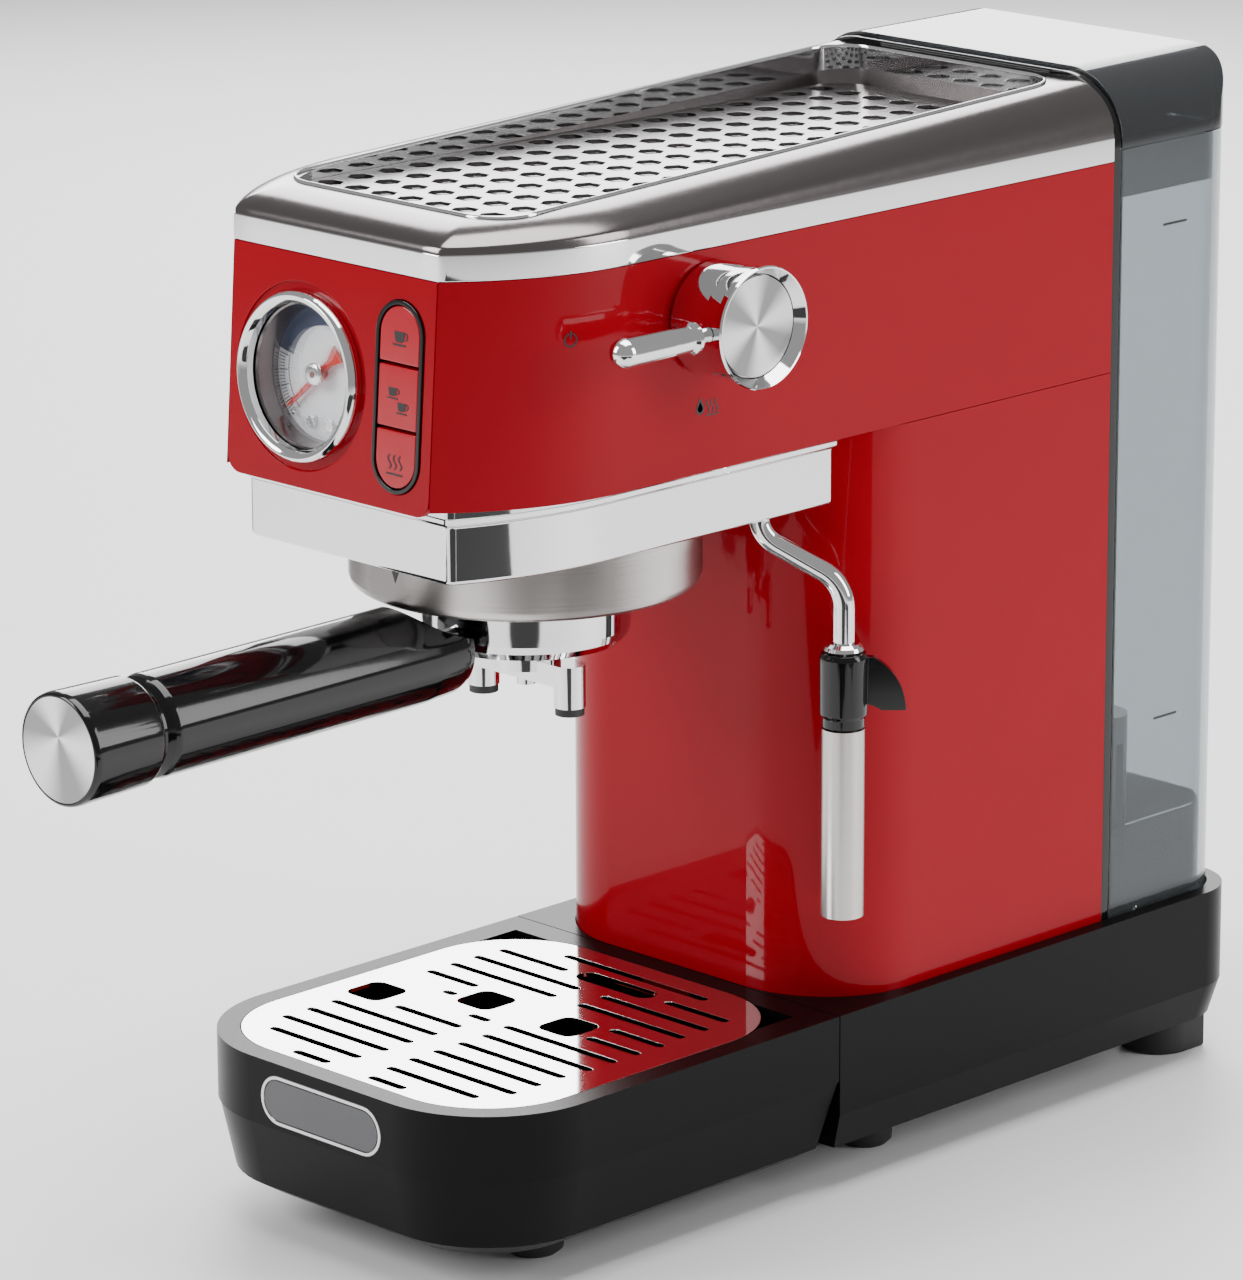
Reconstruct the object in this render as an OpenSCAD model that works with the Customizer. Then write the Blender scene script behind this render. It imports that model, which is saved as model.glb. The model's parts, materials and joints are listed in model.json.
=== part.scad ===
// Slim pump espresso machine with a pressure gauge, steam wand and rear water tank.
// Machine frame: X to the right, Y from the front to the rear, Z up from the table.
// place() moves it so that the origin is the middle of the footprint, on the table.

/* [Body] */
// Width of the painted body
body_w = 118.6; // [117.6:0.2:119.6]
// Rear face of the head and column
body_y = 240; // [238:1:241]
// Height of the seam between the red head and the bright top rim
seam_z = 274; // [272:0.5:276]
// Underside of the head
head_z = 214; // [213.5:0.5:214.5]
// Lean of the front panel from the vertical, in degrees
lean = 4; // [3:0.5:5]

/* [Base and drip tray] */
// Width of the base and tray
base_w = 128; // [126:1:130]
// Height of the tray rim and base rim
base_top = 52; // [51.5:0.5:52.5]
// Split between the drip tray and the rear base
split_y = 125; // [123:1:125]
// Pitch of the grille slots
slot_pitch = 9.1; // [8.9:0.1:9.2]

/* [Brewing] */
// Distance of the brewing axis behind the front panel's top edge
group_y = 68; // [67:0.5:69]
// Radius of the steel ring around the brew head
group_r = 48; // [47:0.5:49]
// Radius of the portafilter handle
grip_r = 14; // [13.5:0.1:14.2]

/* [Steam] */
// Radius of the steam knob's rim
knob_r = 16.4; // [16:0.1:17]
// Radius of the bent steam pipe
pipe_r = 3; // [2.8:0.1:3]

/* [Tank] */
// Rear face of the water tank
tank_rear = 297; // [296:0.5:297]
// Wall of the water tank
tank_wall = 2.2; // [2:0.1:3]

/* [Hidden] */
$fn = 96;

eps = 0.01;              // overlap that keeps cuts clean
gap = 0.4;               // clearance between separate bodies
hw = body_w / 2;         // half width of the painted body
bw = base_w / 2;         // half width of the base
skin = 1.5;              // wall of the painted shells
big = 400;               // larger than the machine

// Head outline: two large arcs meet the flat front, and end at the shoulder
shoulder_y = 50;
shoulder_r = 72;
panel_hw = 39;           // half width of the flat front panel
panel_t = 2.2;
panel_h = 62;
collar_in = 9.3;         // step from the head's side in to the bright collar
collar_y = 3.4;          // front of the collar
collar_bend = 111;       // larger arcs than the head's, for squarer front corners
collar_z = 193;          // underside of the collar
column_y = 126;          // front of the column
column_r = 32;           // its front corners
deck_z = 49;             // deck that the column and tank stand on
under_z = 13;            // underside of the base
base_rear = 300;
base_corner = 18;
tray_front = -10;
tray_corner = 36;
crease_z = 33;           // where the tray's walls start to draw in
tray_under = 9.5;

rim_wall = 281;          // top of the rim's upright wall
rim_rise = 5.7;          // height of the slope at the front
rim_slope = 0.038;       // how fast the top climbs to the rear
rim_in = 16;             // width of the slope
well_hw = 42.5;          // half width of the cup well
well_y0 = 19;
well_y1 = 236;
plate_z = 284;           // ledge that the cup plate lies on
lid_z = 277.4;
lid_top = 298.5;
arch_r = 20;             // round of the lid's long edges
tank_y0 = 243.6;
tank_r = 16;

group_bottom = 176;
holder_bottom = 160;
seat_z = 187;            // top of the filter holder
ceiling_z = 190;         // ceiling of the brew head's recess
handle_z = 163.8;
handle_tilt = 0.6;
grip_l0 = 30.8;          // grip's root, from the brewing axis
grip_l1 = 138;
cap_l = 141;
tip_l = 165;             // far end of the handle

gauge_x = -11.4;
gauge_z = -32.3;         // below the seam, on the leaning panel
gauge_r = 23;
button_x = 26.2;
button_z = -31.8;
button_w = 18;
button_l = 51;

knob_y = 78;
knob_z = 256;
knob_x0 = 60;
knob_x1 = 80;
disc_x = 77.4;
spindle_r = 3;
lever_x = 74.5;
wand_pivot = [44.5, 113];
wand_turn = 41;          // direction of the pipe's offset, from +X
wand_reach = 23;
wand_x = wand_pivot[0] + wand_reach * cos(wand_turn);
wand_y = wand_pivot[1] + wand_reach * sin(wand_turn);
valve_xy = [36, 264];    // outlet valve of the tank

// Middle of the footprint, from the left edge of the base to the knob
// and from the handle's tip to the cord gland
gland_out = 2;
tip_y = group_y - tip_l * cos(handle_tilt) - (grip_r + 1.2) * sin(handle_tilt);
mid_x = (knob_x1 - bw) / 2;
mid_y = (base_rear + gland_out + tip_y) / 2;

module place() translate([-mid_x, -mid_y, 0]) children();
// Local frame of the leaning panel: y runs inwards, z is 0 at the seam
module on_panel() translate([0, 0, seam_z]) rotate([-lean, 0, 0]) children();
module along_x(x) translate([x, 0, 0]) rotate([0, 90, 0]) children();
module inwards(y) translate([0, y, 0]) rotate([-90, 0, 0]) children();
module mirrored() { children(); mirror([1, 0, 0]) children(); }
module tube(r, bore, h) difference() {
    cylinder(r = r, h = h);
    translate([0, 0, -eps]) cylinder(r = bore, h = h + 2 * eps);
}
// Straight lengths of pipe between points, with round elbows
module run(points, r) for (i = [0 : len(points) - 2]) {
    a = points[i];
    d = points[i + 1] - a;
    length = norm(d);
    translate(a) rotate([0, acos(d[2] / length), atan2(d[1], d[0])]) cylinder(r = r, h = length);
    if (i > 0) translate(a) sphere(r = r + 0.3);
}

// ---- outlines ----
module head_outline(inset = 0, front = 0, rear = body_y, bend = shoulder_r) {
    side = hw - inset;
    translate([-side, shoulder_y]) square([2 * side, rear - shoulder_y]);
    intersection() {
        translate([-side, front]) square([2 * side, shoulder_y + 1 - front]);
        translate([bend - hw, shoulder_y]) circle(r = bend - inset);
        translate([hw - bend, shoulder_y]) circle(r = bend - inset);
    }
}
module column_outline(inset = 0, rear = body_y) {
    side = hw - inset;
    r = column_r - inset;
    centre = column_y + column_r;
    translate([-side, centre]) square([2 * side, rear - centre]);
    translate([-side + r, column_y + inset]) square([2 * (side - r), column_r]);
    for (s = [-1, 1]) translate([s * (side - r), centre]) circle(r = r);
}
module rounded(x, y0, y1, r) {
    translate([-x, y0 + r]) square([2 * x, y1 - y0 - 2 * r]);
    translate([-x + r, y0]) square([2 * (x - r), y1 - y0]);
    for (s = [-1, 1], y = [y0 + r, y1 - r]) translate([s * (x - r), y]) circle(r = r);
}
module rear_rounded(x, y0, y1, r) {
    translate([-x, y0]) square([2 * x, y1 - y0 - r]);
    translate([-x + r, y0]) square([2 * (x - r), y1 - y0]);
    for (s = [-1, 1]) translate([s * (x - r), y1 - r]) circle(r = r);
}
module tray_outline(inset = 0) {
    side = bw - inset;
    r = tray_corner - inset;
    y0 = tray_front + inset;
    translate([-side, y0 + r]) square([2 * side, split_y - inset - y0 - r]);
    translate([-side + r, y0]) square([2 * (side - r), r + 1]);
    for (s = [-1, 1]) translate([s * (side - r), y0 + r]) circle(r = r);
}
module stadium(w, l) {
    square([w, l - w], center = true);
    for (s = [-1, 1]) translate([0, s * (l - w) / 2]) circle(r = w / 2);
}
// Outline of the arched top, in the X-Z plane
module arch(x, z0, z1, r) {
    translate([-x, z0]) square([2 * x, z1 - r - z0]);
    translate([-x + r, z0]) square([2 * (x - r), z1 - z0]);
    for (s = [-1, 1]) translate([s * (x - r), z1 - r]) circle(r = r);
}
module head_block(inset, z0, z1, rear = body_y) intersection() {
    on_panel() translate([0, 0, -90]) linear_extrude(140) head_outline(inset, inset, rear + 20);
    translate([-big / 2, -big / 2, z0]) cube([big, rear + big / 2, z1 - z0]);
}

// ---- base ----
deck_t = 3;
base_wall = 3;
base_crease = 23;        // below this the base draws in
base_draw = 2.2;
seat_r = 12;
foot_xy = [39, 162];
tray_foot_xy = [34, 36];
rear_foot = [44, 284];
plate_t = 2.5;
screw_xy = [for (x = [-52, 52], y = [140, 225]) [x, y]];
gland_x = -38;
gland_z = 30;

module base_block(z, h, inset) translate([0, 0, z]) linear_extrude(h)
    rear_rounded(bw - inset, split_y + gap, base_rear - inset, base_corner);
module base_housing() color("#1c1b1c") difference() {
    union() {
        base_block(base_crease, base_top - base_crease, 0);
        hull() {
            base_block(base_crease - 0.05, 0.1, 0.02, $fn = 48);
            base_block(under_z, 0.1, base_draw, $fn = 48);
        }
    }
    translate([0, 0, deck_z]) linear_extrude(big) {
        column_outline(-0.3, body_y + 1);
        rear_rounded(hw + 0.3, body_y - 5, tank_rear + 0.3, tank_r + 0.3);
    }
    translate([0, 0, under_z - eps]) linear_extrude(deck_z - deck_t - under_z)
        rear_rounded(bw - base_draw - base_wall, split_y + base_wall,
            base_rear - base_draw - base_wall, base_corner - base_wall);
    translate([valve_xy[0], valve_xy[1], 0]) cylinder(r = seat_r, h = big);
    translate([gland_x, base_rear - 10, gland_z]) inwards(0) cylinder(r = 6, h = 20);
    translate([-20, 140, deck_z - 10]) cube([40, 50, 20]);
}
module base_plate() color("#161616") translate([0, 0, under_z]) difference() {
    linear_extrude(plate_t) rear_rounded(bw - base_draw - base_wall - 0.1, split_y + base_wall + 0.1,
        base_rear - base_draw - base_wall - 0.1, base_corner - base_wall);
    for (p = screw_xy) translate([p[0], p[1], -1]) cylinder(r = 1.8, h = 5);
}
module base_screws() color("#b0b0b2") for (p = screw_xy) translate([p[0], p[1], under_z]) {
    translate([0, 0, -1.6]) cylinder(r = 3.2, h = 1.6);
    cylinder(r = 1.7, h = 9);
}
module rear_feet() color("#101010") mirrored() translate([rear_foot[0], rear_foot[1], 0])
    difference() {
        union() {
            cylinder(r = 11, h = under_z);
            translate([-11, 0, 0]) cube([22, 9, under_z]);
        }
        translate([0, 0, -eps]) cylinder(r = 6, h = 2);
    }
module middle_feet() color("#101010") mirrored() translate([foot_xy[0], foot_xy[1], 0])
    rotate_extrude() polygon([[0, 1], [4, 1], [4, 0], [6.6, 0], [8, 1.4], [8.8, under_z], [0, under_z]]);
module cord_gland() color("#141414") translate([gland_x, base_rear, gland_z])
    rotate([-90, 0, 0]) {
        translate([0, 0, -base_wall - base_draw - 0.1]) tube(5.9, 3.2, base_wall + base_draw + gland_out + 0.1);
        translate([0, 0, -base_wall - base_draw - 4.1]) tube(8, 3.2, 4);
    }

// ---- drip tray ----
tray_wall = 3;
ledge_z = 46;            // underside of the ledge that carries the grille
grille_in = 6.5;         // width of the tray's black rim
grille_t = 1.2;
badge_w = 48;
badge_h = 14.5;
badge_z = 41.5;
grille_hw = bw - grille_in - 0.3;
grille_y0 = tray_front + grille_in + 0.3;
grille_y1 = split_y - grille_in - 0.3;
grille_r = 29;
slot_w = 2.7;
row_y = 9.4;
float_xy = [1, 101];
float_w = 29;

module tray_wall_ring(z, h, inset) translate([0, 0, z]) linear_extrude(h) tray_outline(inset);
module drip_tray() color("#201f21") difference() {
    union() {
        tray_wall_ring(crease_z, base_top - crease_z, 0);
        hull() {
            tray_wall_ring(crease_z, 0.1, 0.3, $fn = 48);
            tray_wall_ring(tray_under + 4, 0.1, 4.5, $fn = 48);
            tray_wall_ring(tray_under, 0.1, 11, $fn = 48);
        }
    }
    // basin, ledge for the grille, and seat for the badge
    hull() {
        tray_wall_ring(crease_z, 0.1, tray_wall + 0.3, $fn = 48);
        tray_wall_ring(tray_under + 6.5, 0.1, tray_wall + 5, $fn = 48);
        tray_wall_ring(tray_under + tray_wall, 0.1, tray_wall + 10, $fn = 48);
    }
    tray_wall_ring(crease_z, ledge_z - crease_z, tray_wall + 0.3);
    tray_wall_ring(ledge_z - 0.1, big, 9);
    translate([0, 0, base_top - grille_t]) linear_extrude(10)
        rounded(grille_hw + 0.3, grille_y0 - 0.3, grille_y1 + 0.3, grille_r + 0.3);
    translate([0, tray_front - 1, badge_z]) inwards(0) linear_extrude(1.8)
        rotate(90) stadium(badge_h, badge_w);
}
module tray_feet() color("#101010") mirrored() translate([tray_foot_xy[0], tray_foot_xy[1], 0])
    rotate_extrude() polygon([[0, 0], [6.8, 0], [8.4, 1.4], [9.2, tray_under], [0, tray_under]]);
module badge_plate() color("#9b9b9f") translate([0, tray_front, badge_z]) rotate([-90, 0, 0])
    difference() {
        linear_extrude(0.7) rotate(90) stadium(badge_h - 0.3, badge_w - 0.3);
        difference() {
            translate([0, 0, -eps]) linear_extrude(0.3) rotate(90) stadium(badge_h - 1.8, badge_w - 1.8);
            translate([0, 0, -1]) linear_extrude(3) rotate(90) stadium(badge_h - 3.2, badge_w - 3.2);
        }
    }
module slot(row, x0, x1) translate([(x0 + x1) / 2, row_y + row * slot_pitch])
    rotate(90) stadium(slot_w, x1 - x0);
module cup_hole(x, y) translate([x, y]) {
    square([13.5, 6.5], center = true);
    square([6.5, 13.5], center = true);
    for (i = [-1, 1], j = [-1, 1]) translate([i * 3.25, j * 3.25]) circle(r = 3.5);
}
module drip_grille() color("#d9dadc") translate([0, 0, base_top - grille_t]) linear_extrude(grille_t)
    difference() {
        rounded(grille_hw, grille_y0, grille_y1, grille_r);
        for (row = [1, 2, 3, 8, 9]) {
            slot(row, -46, -4);
            slot(row, 5, 46);
        }
        slot(0, -41, -5);
        slot(0, 6, 41);
        slot(-0.95, -22, -8);
        slot(-0.95, 8, 22);
        slot(4, -30, -4);
        slot(4, 5, 47);
        slot(5, -10, -2);
        slot(5, 4, 47);
        slot(6, -30, -25);
        slot(6, 27, 47);
        slot(7, -46, -26);
        slot(7, 27, 47);
        slot(10, -45, -18);
        slot(10, 21, 45);
        slot(11, -28, 28);
        cup_hole(-43, 50.6);
        cup_hole(-15.5, 66.5);
        cup_hole(17, 66.7);
        translate(float_xy) rotate(90) stadium(7, float_w);
    }
module drip_float() color("#b3221f") translate([float_xy[0], float_xy[1], 0]) {
    translate([-10, -6, tray_under + tray_wall + 0.4]) cube([20, 12, 10]);
    translate([-8, -1.5, tray_under + tray_wall + 10]) cube([16, 3, 26]);
}

// ---- column, rear frame and head ----
module column_shell() color("#a8171a") translate([0, 0, deck_z]) difference() {
    linear_extrude(head_z - deck_z - 0.2) column_outline();
    translate([0, 0, -eps]) linear_extrude(big) column_outline(skin, body_y + 10);
}
frame_t = 3;
module rear_frame() color("#262527") difference() {
    translate([0, body_y + frame_t, 0]) rotate([90, 0, 0]) linear_extrude(frame_t)
        arch(hw, deck_z, lid_top - 1, arch_r);
    translate([-40, body_y - 1, 90]) cube([80, frame_t + 2, 1]);
    translate([-40, body_y - 1, 96]) cube([80, frame_t + 2, 1]);
}
group_hole_r = 36.4;
module head_shell() color("#b5181b") difference() {
    head_block(0, head_z, seam_z);
    difference() {
        head_block(skin, head_z + 2, seam_z + 20, body_y + 20);
        translate([-big / 2, body_y, 0]) cube([big, 0.1, eps]);
    }
    on_panel() translate([-panel_hw - 0.2, -20, -90]) cube([2 * panel_hw + 0.4, 20 + panel_t + 0.2, 120]);
    translate([0, group_y, head_z - 1]) cylinder(r = group_hole_r, h = 5);
    translate([wand_pivot[0], wand_pivot[1], head_z - 1]) cylinder(r = 5, h = 5);
    translate([-50, 165, head_z - 1]) cube([100, 65, 5]);
    translate([0, knob_y, knob_z]) along_x(hw - 3) cylinder(r = spindle_r + 0.6, h = 6);
}
module front_panel() color("#b5181b") on_panel() difference() {
    translate([0, panel_t, 0]) rotate([90, 0, 0]) linear_extrude(panel_t) {
        translate([-panel_hw, -panel_h + 5]) square([2 * panel_hw, panel_h - 5]);
        translate([-panel_hw + 5, -panel_h]) square([2 * panel_hw - 10, 10]);
        for (s = [-1, 1]) translate([s * (panel_hw - 5), -panel_h + 5]) circle(r = 5);
    }
    translate([gauge_x, -1, gauge_z]) inwards(0) cylinder(r = gauge_r - 1, h = 10);
    translate([gauge_x, -1, gauge_z]) inwards(0) cylinder(r = gauge_r + 2, h = 1.8);
    translate([button_x, -1, button_z]) inwards(0) linear_extrude(10) stadium(button_w, button_l);
}
module rim_slice(turn) translate([0, 0, rim_wall + rim_rise * sin(turn)])
    rotate([atan(rim_slope * sin(turn)), 0, 0]) linear_extrude(0.05, $fn = 64)
        head_outline(rim_in * (1 - cos(turn)), rim_in * (1 - cos(turn)));
module top_rim() color("#8d888a") difference() {
    union() {
        translate([0, 0, seam_z]) linear_extrude(rim_wall - seam_z) head_outline();
        hull() for (turn = [0 : 18 : 90]) rim_slice(turn);
    }
    translate([0, 0, seam_z - 1]) linear_extrude(6) head_outline(2, 2, body_y + 10);
    translate([0, 0, plate_z]) linear_extrude(20) rounded(well_hw, well_y0, well_y1, 12);
    translate([0, 0, seam_z]) linear_extrude(20) rounded(well_hw - 3, well_y0 + 3, well_y1 - 3, 9);
}
hole_px = 10.4;
hole_py = 11.2;
module cup_plate() color("#c9c9cb") translate([0, 0, plate_z]) difference() {
    linear_extrude(1) rounded(well_hw - 0.2, well_y0 + 0.2, well_y1 - 0.2, 11.8);
    for (i = [-3.5 : 3.5], j = [0 : 17])
        translate([i * hole_px, well_y0 + 13 + j * hole_py, -1]) cylinder(r = 3.9, h = 3, $fn = 6);
}
module collar_ring(inset, z0, z1, front) difference() {
    translate([0, 0, z0]) linear_extrude(z1 - z0) head_outline(inset, front, column_y + column_r, collar_bend);
    translate([0, 0, z0 - 1]) linear_extrude(z1 - z0 + 2) column_outline(-0.2);
}
module chrome_collar() color("#d4d4d6") difference() {
    union() {
        collar_ring(collar_in, collar_z, head_z - 3, collar_y);
        collar_ring(collar_in - 1.6, head_z - 3.2, head_z - 0.2, collar_y - 1.6);
    }
    translate([0, 0, collar_z + 1.5]) linear_extrude(big)
        head_outline(collar_in + 1.5, collar_y + 1.5, column_y - 1.5, collar_bend);
    translate([0, group_y, collar_z - 1]) cylinder(r = group_hole_r, h = 5);
    translate([wand_pivot[0], wand_pivot[1], collar_z - 1]) cylinder(r = 4, h = 40);
}

// ---- group and portafilter, around the brewing axis ----
module brew_axis() translate([0, group_y, 0]) children();
lug_r = 35.8;
lug_half = 14;
module sector(r, z, h, half) intersection() {
    translate([0, 0, z]) cylinder(r = r, h = h);
    rotate(half) translate([0, -big, z]) cube([big, big, h]);
    rotate(-half) translate([0, 0, z]) cube([big, big, h]);
}
module group_ring() color("#b9b4b1") brew_axis() rotate_extrude() polygon([
    [group_hole_r, collar_z], [group_r, collar_z], [group_r, 179], [group_r - 0.6, 177],
    [group_r - 2, group_bottom], [group_r - 2.8, group_bottom], [group_r - 2.8, 191.2],
    [group_hole_r, 191.2]]);
unlock = -55;
module brew_head() color("#a6a7a9") brew_axis() difference() {
    rotate_extrude() polygon([[0, 216], [36, 216], [36, 191], [44, 191], [44, 178], [32.5, 178],
        [32.5, 181], [36.5, 181], [36.5, ceiling_z], [10, ceiling_z], [10, 185.8],
        [2.6, 185.8], [2.6, 199], [0, 199]]);
    for (a = [unlock, unlock + 180]) rotate(a) difference() {
        sector(lug_r + 0.6, 177, 5, lug_half + 3);
        translate([0, 0, 170]) cylinder(r = 30, h = 20);
    }
}
module group_seal() color("#2b2b2b") brew_axis() translate([0, 0, 188]) tube(36.2, 28.5, 2);
module shower_screen() color("#c7c7c7") brew_axis() translate([0, 0, 184.6]) difference() {
    cylinder(r = 25.8, h = 1.2);
    translate([0, 0, -1]) cylinder(r = 2.6, h = 4);
    for (ring = [1 : 3], a = [0 : 60 / ring : 359])
        rotate(a) translate([ring * 6 + 3, 0, -1]) cylinder(r = 0.9, h = 4, $fn = 16);
}
module screen_screw() color("#b8b8ba") brew_axis() difference() {
    union() {
        translate([0, 0, 182.4]) cylinder(r = 4.5, h = 2.2);
        translate([0, 0, 184.6]) cylinder(r = 2.5, h = 13);
    }
    translate([-4, -0.5, 182.3]) cube([8, 1, 1]);
}
module filter_holder() color("#d6d6d8") brew_axis() {
    rotate_extrude() polygon([[3, holder_bottom], [26.6, holder_bottom], [28.1, 162], [28.5, 164],
        [28.7, 175.5], [31.5, 178], [31.5, seat_z], [27.2, seat_z], [27.2, 163], [3, 162.5]]);
    for (a = [0, 180]) rotate(a) difference() {
        sector(lug_r, 181.4, 3, lug_half);
        translate([0, 0, 180]) cylinder(r = 31, h = 10);
    }
    difference() {
        translate([0, 0, handle_z]) rotate([90, 0, 0]) cylinder(r = 3.6, h = 30.6);
        translate([0, 0, 150]) cylinder(r = 28, h = 40);
    }
}
module filter_basket() color("#c3c3c5") brew_axis() difference() {
    union() {
        translate([0, 0, 164]) cylinder(r = 27, h = seat_z - 164 + 0.1);
        translate([0, 0, seat_z]) cylinder(r = 31.2, h = 0.7);
    }
    translate([0, 0, 164.8]) cylinder(r = 26.2, h = 40);
    for (ring = [1 : 3], a = [0 : 60 / ring : 359])
        rotate(a) translate([ring * 6.5, 0, 160]) cylinder(r = 0.8, h = 8, $fn = 16);
}
leg_x = 16.8;
module spout() color("#cfcfd1") brew_axis() difference() {
    union() {
        translate([0, 0, 152]) cylinder(r = 9.5, h = holder_bottom - 152);
        translate([-leg_x, -4.4, 149]) cube([2 * leg_x, 8.8, 6]);
        mirrored() translate([leg_x, 0, 143.2]) cylinder(r = 4.4, h = 11.8);
        translate([0, 0, 146.5]) cylinder(r = 2.6, h = 4);
    }
    mirrored() translate([leg_x, 0, 140]) cylinder(r = 2.6, h = 11);
    translate([0, 0, 151.5]) cylinder(r = 3, h = 20);
    translate([-leg_x, -1.8, 151]) cube([2 * leg_x, 3.6, 2.4]);
}
module spout_tips() color("#161616") brew_axis() mirrored() translate([leg_x, 0, 141])
    tube(4, 2.7, 2.2);

module handle_axis() brew_axis() translate([0, 0, handle_z]) rotate([handle_tilt, 0, 0])
    rotate([90, 0, 0]) children();
scoop_r = 50;
module handle_grip() color("#0d0d0e") difference() {
    handle_axis() rotate_extrude() polygon([[4.05, grip_l0], [grip_r - 1.6, grip_l0],
        [grip_r - 0.6, grip_l0 + 3], [grip_r, grip_l0 + 14], [grip_r, grip_l1 - 3],
        [grip_r - 0.5, grip_l1 - 1], [grip_r - 1.6, grip_l1], [grip_r - 2, grip_l1 + 0.6],
        [grip_r - 2, cap_l], [4.05, cap_l]]);
    // hollow that lets the root pass under the group ring
    translate([-40, group_y - 18, handle_z + 51.7]) rotate([0, 90, 0]) cylinder(r = scoop_r, h = 80);
}
module handle_stud() color("#b5b5b7") handle_axis() translate([0, 0, grip_l0 + 0.1])
    cylinder(r = 4, h = 75);
module handle_cap() color("#0d0d0e") handle_axis() difference() {
    rotate_extrude() polygon([[0, cap_l], [grip_r, cap_l], [grip_r + 0.7, cap_l + 1.5],
        [grip_r + 1.2, tip_l - 2], [grip_r + 0.9, tip_l - 0.4], [grip_r + 0.4, tip_l],
        [0, tip_l]]);
    translate([0, 0, tip_l - 0.8]) cylinder(r = grip_r, h = 2);
}
module cap_disc() color("#c8c8ca") handle_axis() translate([0, 0, tip_l - 0.8])
    cylinder(r = grip_r - 0.1, h = 0.7);

// ---- gauge ----
dial_y = 8.5;
module gauge_axis() on_panel() translate([gauge_x, 0, gauge_z]) rotate([-90, 0, 0]) children();
module gauge_case() color("#8f8f92") gauge_axis() difference() {
    translate([0, 0, 0.9]) cylinder(r = gauge_r - 1.2, h = 21);
    translate([0, 0, -1]) cylinder(r = 20.2, h = dial_y + 3.5);
    translate([0, 0, -1]) cylinder(r = 18, h = 20);
}
module gauge_bezel() color("#d8d8da") gauge_axis() rotate_extrude() polygon([
    [19.4, 0.8], [19.4, -1.6], [20.4, -2.7], [21.6, -3], [22.5, -2.2], [gauge_r, -0.6], [gauge_r, 0.8]]);
module gauge_dial() color("#e6e6e8") gauge_axis() translate([0, 0, dial_y]) difference() {
    cylinder(r = 20.1, h = 1.2);
    translate([0, 0, -1]) cylinder(r = 1.3, h = 4);
}
module gauge_glass() color("#dfe6ea", 0.3) gauge_axis() translate([0, 0, 1]) cylinder(r = 20.1, h = 1.2);
needle_a = 222;          // direction of the needle at rest, seen from the front
module gauge_needle() color("#c2241f") gauge_axis() {
    translate([0, 0, dial_y - 3]) cylinder(r = 2.2, h = 1.6);
    translate([0, 0, dial_y - 3]) cylinder(r = 1.2, h = 5);
    translate([0, 0, dial_y - 2.2]) rotate(-needle_a) linear_extrude(0.8)
        polygon([[0, -0.9], [15, -0.35], [16, 0], [15, 0.35], [0, 0.9], [-5, 0.9], [-9.5, 2.6],
            [-9.5, -2.6], [-5, -0.9]]);
}

// ---- buttons ----
part_l = button_l / 3;
module panel_button(i) color("#c8201f") on_panel() translate([button_x, -0.4, button_z]) inwards(0)
    linear_extrude(7) intersection() {
        stadium(button_w - 3.2, button_l - 3.2);
        translate([0, (i - 1) * part_l]) square([button_w, part_l - 0.8], center = true);
    }
module button_surround() color("#4a4546") on_panel() translate([button_x, 0, button_z]) inwards(0)
    difference() {
        translate([0, 0, -0.6]) linear_extrude(5.6) stadium(button_w - 0.2, button_l - 0.2);
        translate([0, 0, -2]) linear_extrude(10) stadium(button_w - 2.6, button_l - 2.6);
    }
module button_one_cup() panel_button(0);
module button_two_cups() panel_button(1);
module button_steam() panel_button(2);
module switch_board() color("#2f6b3a") on_panel() translate([button_x, 13, button_z]) {
    translate([-8.5, 0, -24]) cube([17, 1.6, 49]);
    for (i = [-1 : 1]) translate([-3, -4, i * part_l - 3]) cube([6, 4, 6]);
}

// ---- steam ----
module knob_axis() translate([0, knob_y, knob_z]) rotate([0, 90, 0]) children();
module steam_knob() color("#d2d2d4") knob_axis() rotate_extrude() polygon([
    [spindle_r + 0.05, knob_x0], [knob_r - 1.6, knob_x0], [knob_r - 1.2, knob_x0 + 0.6],
    [knob_r - 1.1, knob_x1 - 8], [knob_r - 0.6, knob_x1 - 3], [knob_r, knob_x1 - 0.6],
    [knob_r - 0.3, knob_x1], [knob_r - 0.7, knob_x1 - 0.1], [knob_r - 2.6, disc_x - 0.2],
    [knob_r - 2.9, disc_x - 1.2], [0, disc_x - 1.2], [0, knob_x0 + 12],
    [spindle_r + 0.05, knob_x0 + 12]]);
module knob_disc() color("#cfcfd1") knob_axis() translate([0, 0, disc_x - 1.2])
    cylinder(r = knob_r - 3, h = 1);
module steam_lever() color("#d2d2d4") translate([lever_x, knob_y, knob_z]) rotate([90, 0, 0]) {
    difference() {
        translate([0, 0, 10]) cylinder(r = 2.1, h = 12);
        translate([-20, 0, 0]) rotate([0, 90, 0]) cylinder(r = knob_r - 0.5, h = 40);
    }
    rotate_extrude() polygon([[0, 20.5], [3, 20.5], [4.3, 21.2], [4.4, 22.4], [3.5, 23.4],
        [3.8, 30], [4, 46], [0, 46]]);
    translate([0, 0, 46]) sphere(r = 4);
}
module steam_valve() color("#b99045") translate([0, knob_y, knob_z]) {
    translate([38, -9, -9]) cube([17, 18, 18]);
    along_x(54.9) cylinder(r = spindle_r, h = knob_x0 + 11.6 - 54.9);
    translate([46, 0, -16]) cylinder(r = 4, h = 8);
}
module wand_frame() translate([wand_pivot[0], wand_pivot[1], 0]) rotate(wand_turn) children();
module wand_tip() translate([wand_x, wand_y, 0]) children();
bend_a = 60;
bend_1 = 9;
bend_2 = 12;
bend_z = 193;
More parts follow.
